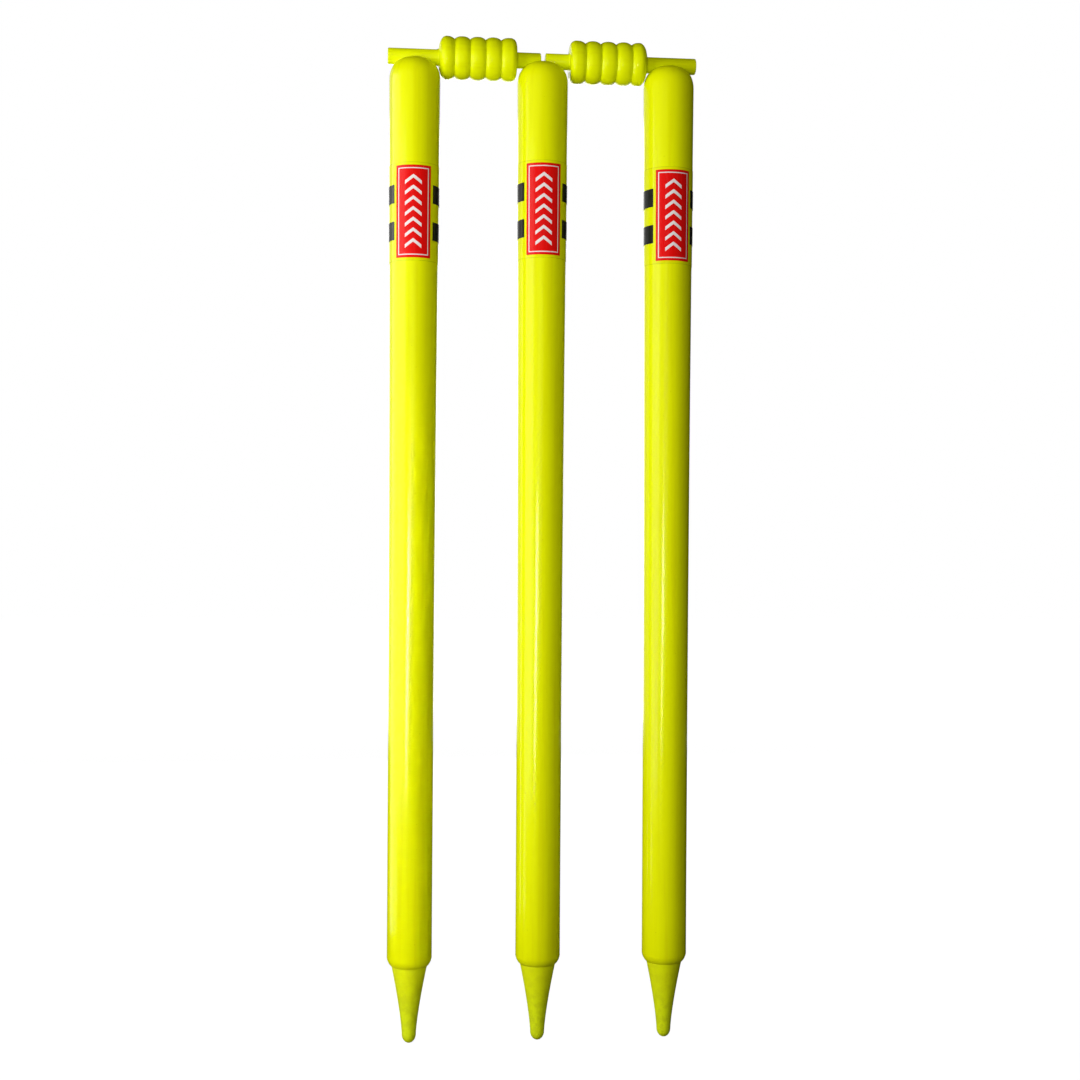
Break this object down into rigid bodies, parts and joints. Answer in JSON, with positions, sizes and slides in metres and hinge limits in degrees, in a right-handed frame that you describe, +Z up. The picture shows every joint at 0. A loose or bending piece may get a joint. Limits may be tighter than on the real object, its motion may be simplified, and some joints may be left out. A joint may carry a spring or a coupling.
{
  "type": "cricket stumps",
  "caption": "Wicket of turned wooden stumps with ground points and blunt crowns, and ringed bails lying in grooves across the crowns.",
  "frame": {"origin": "on the middle stump's axis at the ground line, where its point begins, 655.8 mm below its crown", "axes": "+Z up along the middle stump's axis; the labels face -Y; the line of the three stumps runs along X"},
  "size_m": [0.2254, 0.037, 0.7276],
  "materials": {
    "stump_paint": "fluorescent yellow gloss lacquer on turned wood, more matt on the points",
    "bail_paint": "fluorescent yellow gloss lacquer on turned wood",
    "clear_film": "clear film, seen as the yellow paint under it",
    "red_vinyl": "glossy red vinyl",
    "black_vinyl": "glossy black vinyl"
  },
  "bodies": {
    "middle_stump": {"stump_middle": "stump_paint", "film_middle": "clear_film", "label_middle": "red_vinyl", "band_upper_middle": "black_vinyl", "band_lower_middle": "black_vinyl"},
    "left_stump": {"stump_left": "stump_paint", "film_left": "clear_film", "label_left": "red_vinyl", "band_upper_left": "black_vinyl", "band_lower_left": "black_vinyl"},
    "right_stump": {"stump_right": "stump_paint", "film_right": "clear_film", "label_right": "red_vinyl", "band_upper_right": "black_vinyl", "band_lower_right": "black_vinyl"},
    "left_bail": {"bail_left": "bail_paint"},
    "right_bail": {"bail_right": "bail_paint"}
  },
  "joints": [
    {"name": "left_stump_draw", "type": "slide", "parent": "middle_stump", "child": "left_stump", "axis": [0, 0, 1], "range_m": [0, 0.06]},
    {"name": "right_stump_draw", "type": "slide", "parent": "middle_stump", "child": "right_stump", "axis": [0, 0, 1], "range_m": [0, 0.06]},
    {"name": "left_bail_lift", "type": "slide", "parent": "left_stump", "child": "left_bail", "axis": [0, 0, 1], "range_m": [0, 0.06]},
    {"name": "right_bail_lift", "type": "slide", "parent": "right_stump", "child": "right_bail", "axis": [0, 0, 1], "range_m": [0, 0.06]}
  ]
}
